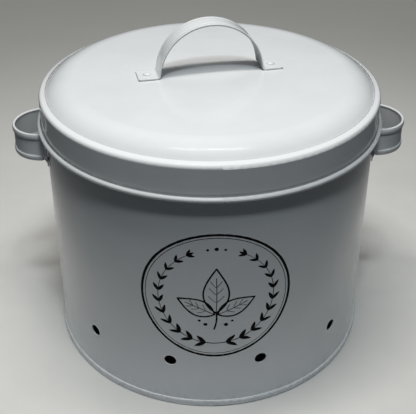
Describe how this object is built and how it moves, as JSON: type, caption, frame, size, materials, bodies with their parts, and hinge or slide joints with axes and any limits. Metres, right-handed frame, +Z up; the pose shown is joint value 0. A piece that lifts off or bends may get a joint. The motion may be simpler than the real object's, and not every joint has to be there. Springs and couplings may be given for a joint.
{
  "type": "lidded storage bin",
  "caption": "Round white steel storage bin with low vent holes, looped side handles and a domed lift-off lid with an arched strip handle.",
  "frame": {"origin": "centre of the base on the surface that the bin stands on", "axes": "+Z up along the bin's axis, -Y out of the printed front, +X towards the right-hand side handle"},
  "size_m": [0.31, 0.2662, 0.2587],
  "materials": {
    "white_paint": "gloss powder coat",
    "rivet_paint": "gloss powder coat"
  },
  "bodies": {
    "bin": {"body_wall": "white_paint", "base_pan": "white_paint", "left_handle": "white_paint", "right_handle": "white_paint", "left_handle_rivet_1": "rivet_paint", "left_handle_rivet_2": "rivet_paint", "left_handle_rivet_3": "rivet_paint", "left_handle_rivet_4": "rivet_paint", "right_handle_rivet_1": "rivet_paint", "right_handle_rivet_2": "rivet_paint", "right_handle_rivet_3": "rivet_paint", "right_handle_rivet_4": "rivet_paint"},
    "lid": {"lid_dome": "white_paint", "lid_skirt": "white_paint", "lid_handle": "white_paint", "lid_rivet_near": "rivet_paint", "lid_rivet_far": "rivet_paint"}
  },
  "joints": [
    {"name": "lid_lift", "type": "slide", "parent": "bin", "child": "lid", "axis": [0, 0, 1], "range_m": [0, 0.06]}
  ]
}
